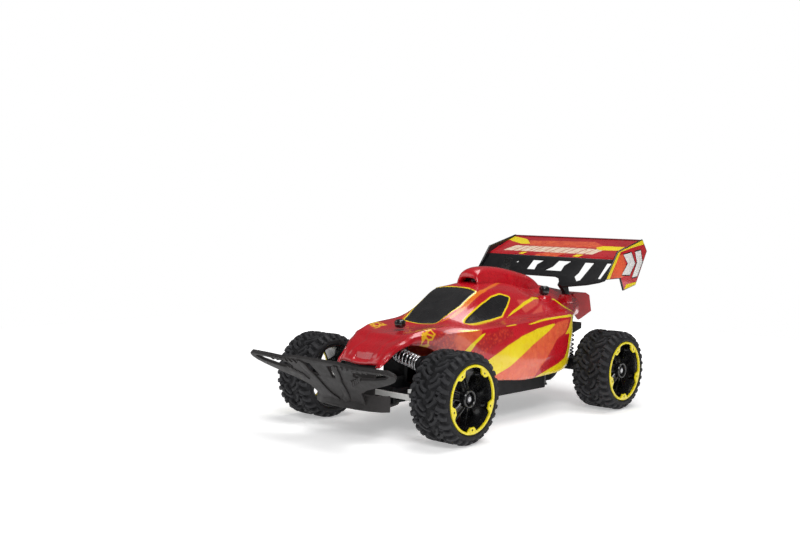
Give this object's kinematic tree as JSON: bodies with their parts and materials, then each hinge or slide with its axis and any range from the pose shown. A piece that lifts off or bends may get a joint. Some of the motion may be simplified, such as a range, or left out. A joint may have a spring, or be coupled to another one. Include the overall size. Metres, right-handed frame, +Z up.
{
  "type": "remote control buggy",
  "caption": "Toy off-road remote control buggy with a painted shell, rear wing, sprung front arms, steering, and a geared swinging rear drive.",
  "frame": {"origin": "centre of the footprint, on the ground under the car", "axes": "-Y is the front, +X is the car's left, +Z is up"},
  "size_m": [0.198, 0.391, 0.1648],
  "materials": {
    "tyre_rubber": "matt moulded rubber",
    "rim_black": "gloss black moulding",
    "ring_yellow": "gloss yellow moulding",
    "steel": "plain",
    "spring_steel": "bright wire",
    "spring_black": "black wire",
    "body_red": "gloss with printed yellow, orange and black areas",
    "tail_red": "gloss",
    "gloss_black": "gloss",
    "bumper_grey": "fine texture",
    "chassis_black": "fine texture",
    "white_plastic": "natural nylon",
    "contact_metal": "nickel plate",
    "brass": "plain",
    "cell_wrap": "printed foil wrap",
    "board_green": "solder mask"
  },
  "bodies": {
    "chassis": {"chassis_tub": "chassis_black", "front_bumper": "bumper_grey", "batteries": "cell_wrap", "battery_contacts": "contact_metal", "circuit_board": "board_green", "chassis_screws": "steel", "servo_case": "chassis_black", "front_tower": "chassis_black", "front_hinge_pins": "steel", "rear_frame": "chassis_black", "rear_pivot_pin": "steel", "front_spring_left": "spring_steel", "front_spring_right": "spring_steel", "rear_spring_left": "spring_black", "rear_spring_right": "spring_black"},
    "shell": {"body_shell": "body_red", "tail_box": "tail_red", "rear_wing": "body_red", "wing_support": "gloss_black", "wing_endplate_left": "body_red", "wing_endplate_right": "body_red"},
    "knob_front": {"front_knob": "gloss_black"},
    "knob_rear_left": {"rear_knob_left": "gloss_black"},
    "knob_rear_right": {"rear_knob_right": "gloss_black"},
    "door": {"battery_door": "chassis_black"},
    "switch": {"power_switch": "chassis_black"},
    "steering_arm": {"servo_arm": "white_plastic"},
    "tie_rod": {"tie_rod": "white_plastic"},
    "arm_left": {"front_arm_left": "chassis_black"},
    "arm_right": {"front_arm_right": "chassis_black"},
    "knuckle_left": {"front_knuckle_left": "white_plastic", "front_axle_left": "steel", "front_nut_left": "steel"},
    "knuckle_right": {"front_knuckle_right": "white_plastic", "front_axle_right": "steel", "front_nut_right": "steel"},
    "wheel_front_left": {"front_tyre_left": "tyre_rubber", "front_rim_left": "rim_black", "front_ring_left": "ring_yellow"},
    "wheel_front_right": {"front_tyre_right": "tyre_rubber", "front_rim_right": "rim_black", "front_ring_right": "ring_yellow"},
    "rear_unit": {"gearbox_left": "chassis_black", "gearbox_right": "chassis_black", "axle_bushes": "brass", "drive_motor": "steel"},
    "pinion": {"motor_pinion": "brass"},
    "idler": {"idler_gear": "white_plastic"},
    "rear_wheels": {"rear_axle": "steel", "axle_gear": "white_plastic", "rear_tyre_left": "tyre_rubber", "rear_tyre_right": "tyre_rubber", "rear_rim_left": "rim_black", "rear_rim_right": "rim_black", "rear_ring_left": "ring_yellow", "rear_ring_right": "ring_yellow", "rear_nut_left": "steel", "rear_nut_right": "steel"}
  },
  "joints": [
    {"name": "shell_lift", "type": "slide", "parent": "chassis", "child": "shell", "axis": [0, 0, 1], "range_m": [0, 0.1]},
    {"name": "front_knob_turn", "type": "hinge", "parent": "shell", "child": "knob_front", "pos_m": [0, -0.092, 0.089], "axis": [0, 0, 1], "range_deg": [0, 90]},
    {"name": "rear_left_knob_turn", "type": "hinge", "parent": "shell", "child": "knob_rear_left", "pos_m": [0.024, 0.0935, 0.112], "axis": [0, 0, 1], "range_deg": [0, 90]},
    {"name": "rear_right_knob_turn", "type": "hinge", "parent": "shell", "child": "knob_rear_right", "pos_m": [-0.024, 0.0935, 0.112], "axis": [0, 0, 1], "range_deg": [0, 90]},
    {"name": "battery_door_swing", "type": "hinge", "parent": "chassis", "child": "door", "pos_m": [0, -0.0222, 0.024], "axis": [-1, 0, 0], "range_deg": [0, 70]},
    {"name": "power_switch_slide", "type": "slide", "parent": "chassis", "child": "switch", "axis": [0, 1, 0], "range_m": [0, 0.004]},
    {"name": "front_left_suspension", "type": "hinge", "parent": "chassis", "child": "arm_left", "pos_m": [0.019, -0.1115, 0.034], "axis": [0, -1, 0], "range_deg": [0, 6], "stiffness_Nm_per_rad": 2, "springref_deg": -8.59, "deforming": ["front_spring_left"]},
    {"name": "front_right_suspension", "type": "hinge", "parent": "chassis", "child": "arm_right", "pos_m": [-0.019, -0.1115, 0.034], "axis": [0, 1, 0], "range_deg": [0, 6], "stiffness_Nm_per_rad": 2, "springref_deg": -8.59, "deforming": ["front_spring_right"]},
    {"name": "steer_left", "type": "hinge", "parent": "arm_left", "child": "knuckle_left", "pos_m": [0.054, -0.1115, 0.038], "axis": [0, 0, 1], "range_deg": [-20, 20]},
    {"name": "steer_right", "type": "hinge", "parent": "arm_right", "child": "knuckle_right", "pos_m": [-0.054, -0.1115, 0.038], "axis": [0, 0, 1], "range_deg": [-20, 20]},
    {"name": "tie_rod_slide", "type": "slide", "parent": "chassis", "child": "tie_rod", "axis": [1, 0, 0], "range_m": [-0.0066, 0.0066]},
    {"name": "steering_arm_turn", "type": "hinge", "parent": "chassis", "child": "steering_arm", "pos_m": [0, -0.1115, 0.0482], "axis": [0, 0, 1], "range_deg": [-20.7, 20.7]},
    {"name": "front_left_wheel_spin", "type": "hinge", "parent": "knuckle_left", "child": "wheel_front_left", "pos_m": [0.08, -0.1115, 0.038], "axis": [1, 0, 0], "continuous": true},
    {"name": "front_right_wheel_spin", "type": "hinge", "parent": "knuckle_right", "child": "wheel_front_right", "pos_m": [-0.08, -0.1115, 0.038], "axis": [1, 0, 0], "continuous": true},
    {"name": "rear_suspension", "type": "hinge", "parent": "chassis", "child": "rear_unit", "pos_m": [0, 0.078, 0.034], "axis": [1, 0, 0], "range_deg": [0, 5], "stiffness_Nm_per_rad": 4, "springref_deg": -11.46, "deforming": ["rear_spring_left", "rear_spring_right"]},
    {"name": "rear_wheels_spin", "type": "hinge", "parent": "rear_unit", "child": "rear_wheels", "pos_m": [0, 0.1265, 0.038], "axis": [1, 0, 0], "continuous": true},
    {"name": "idler_spin", "type": "hinge", "parent": "rear_unit", "child": "idler", "pos_m": [0, 0.10641, 0.04338], "axis": [1, 0, 0], "continuous": true},
    {"name": "pinion_spin", "type": "hinge", "parent": "rear_unit", "child": "pinion", "pos_m": [0, 0.09721, 0.05932], "axis": [1, 0, 0], "continuous": true}
  ],
  "couplings": [
    {"joint": "steer_right", "follows": "steer_left", "ratio": 1},
    {"joint": "tie_rod_slide", "follows": "steer_left", "m_per_rad": 0.01862},
    {"joint": "steering_arm_turn", "follows": "steer_left", "ratio": 1.0285},
    {"joint": "idler_spin", "follows": "rear_wheels_spin", "ratio": -3.3333},
    {"joint": "pinion_spin", "follows": "rear_wheels_spin", "ratio": 12}
  ]
}
